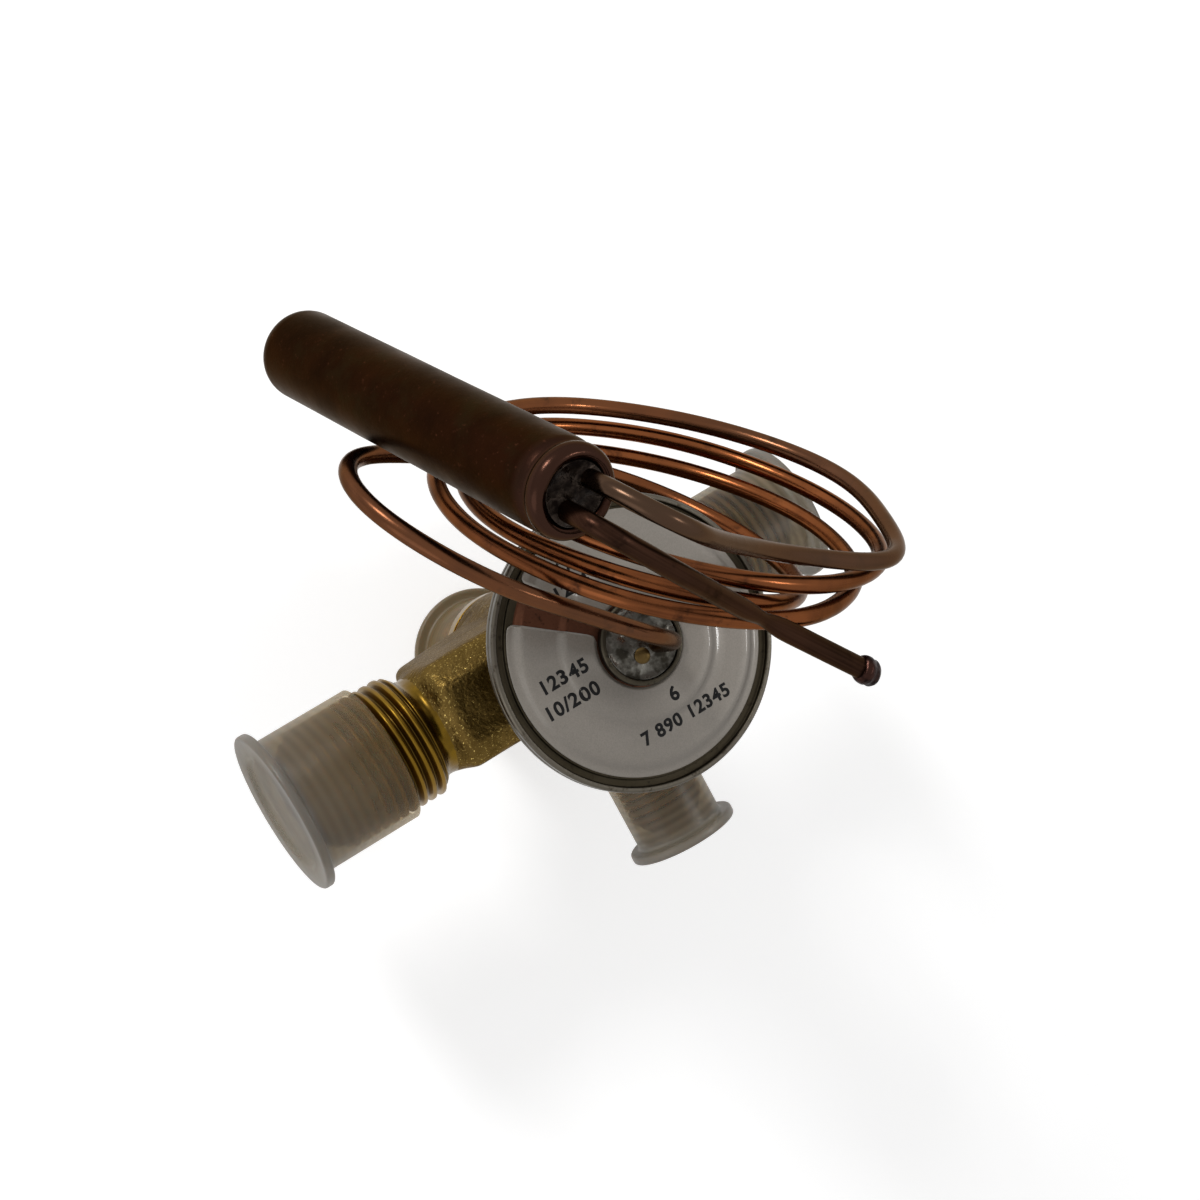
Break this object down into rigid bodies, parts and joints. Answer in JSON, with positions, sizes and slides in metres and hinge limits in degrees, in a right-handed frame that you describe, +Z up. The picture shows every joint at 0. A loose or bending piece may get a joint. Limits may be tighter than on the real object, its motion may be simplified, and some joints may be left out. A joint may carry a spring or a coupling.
{
  "type": "thermostatic expansion valve",
  "caption": "Brass flare-ended expansion valve with diaphragm case, dust caps, external equaliser branch, coiled capillary tube and copper sensing bulb.",
  "frame": {"origin": "centre of the flat end of the stem cap, which the valve stands on, on the axis of the diaphragm case", "axes": "+Z up along the axis of the stem and the diaphragm case, +X from the outlet port to the inlet port, -Y along the equaliser branch"},
  "size_m": [0.0896, 0.0913, 0.1246],
  "materials": {
    "forged_brass": "raw forged surface, machined at the threads and flares",
    "turned_brass": "turned, bright",
    "case_steel": "pressed steel, stained",
    "label_film": "silver-grey printed film",
    "boss_metal": "dull turned steel",
    "solder": "frozen solder with flux",
    "plug_brass": "dull brass",
    "capillary_copper": "drawn copper, tarnished",
    "bulb_copper": null,
    "charge_copper": "drawn copper, heat darkened",
    "braze_metal": "brazing alloy, heat stained",
    "stainless_steel": "bright",
    "cap_polyethylene": "frosted translucent",
    "packing_graphite": "black",
    "gasket_copper": "annealed copper",
    "gasket_fibre": "fibre",
    "strainer_mesh": "woven wire"
  },
  "bodies": {
    "valve": {"valve_body": "forged_brass", "lower_case": "case_steel", "upper_case": "case_steel", "diaphragm": "stainless_steel", "element_gasket": "gasket_fibre", "capillary_boss": "boss_metal", "boss_solder": "solder", "boss_plug": "plug_brass", "element_label": "label_film", "seat_insert": "turned_brass", "superheat_spring": "stainless_steel", "stem_gland": "turned_brass", "stem_packing": "packing_graphite", "gland_gasket": "gasket_copper", "inlet_strainer": "strainer_mesh", "sensing_bulb": "bulb_copper", "capillary_tube": "capillary_copper", "charge_tube": "charge_copper", "charge_seal": "braze_metal", "bulb_braze": "braze_metal"},
    "pin_group": {"buffer_plate": "turned_brass", "push_rods": "stainless_steel", "pin_carrier": "turned_brass", "valve_pin": "stainless_steel"},
    "stem": {"adjusting_stem": "turned_brass"},
    "nut": {"spring_seat": "turned_brass"},
    "outlet_cap_body": {"outlet_cap": "cap_polyethylene"},
    "inlet_cap_body": {"inlet_cap": "cap_polyethylene"},
    "equalizer_cap_body": {"equalizer_cap": "cap_polyethylene"},
    "stem_cap_body": {"stem_cap": "cap_polyethylene"}
  },
  "joints": [
    {"name": "pin_travel", "type": "slide", "parent": "valve", "child": "pin_group", "axis": [0, 0, -1], "range_m": [0, 0.0006], "stiffness_N_per_m": 3380, "springref_m": -0.0025, "deforming": ["superheat_spring", "diaphragm"]},
    {"name": "stem_turn", "type": "hinge", "parent": "valve", "child": "stem", "pos_m": [0, 0, 0.01], "axis": [0, 0, 1], "range_deg": [-720, 720]},
    {"name": "seat_lift", "type": "slide", "parent": "valve", "child": "nut", "axis": [0, 0, 1], "range_m": [-0.0016, 0.0016], "deforming": ["superheat_spring"]},
    {"name": "outlet_cap_pull", "type": "slide", "parent": "valve", "child": "outlet_cap_body", "axis": [-1, 0, 0], "range_m": [0, 0.022]},
    {"name": "inlet_cap_pull", "type": "slide", "parent": "valve", "child": "inlet_cap_body", "axis": [1, 0, 0], "range_m": [0, 0.02]},
    {"name": "equalizer_cap_pull", "type": "slide", "parent": "valve", "child": "equalizer_cap_body", "axis": [0, -1, 0], "range_m": [0, 0.016]},
    {"name": "stem_cap_pull", "type": "slide", "parent": "valve", "child": "stem_cap_body", "axis": [0, 0, -1], "range_m": [0, 0.015]}
  ],
  "couplings": [
    {"joint": "stem_turn", "follows": "seat_lift", "rad_per_m": 7854}
  ]
}
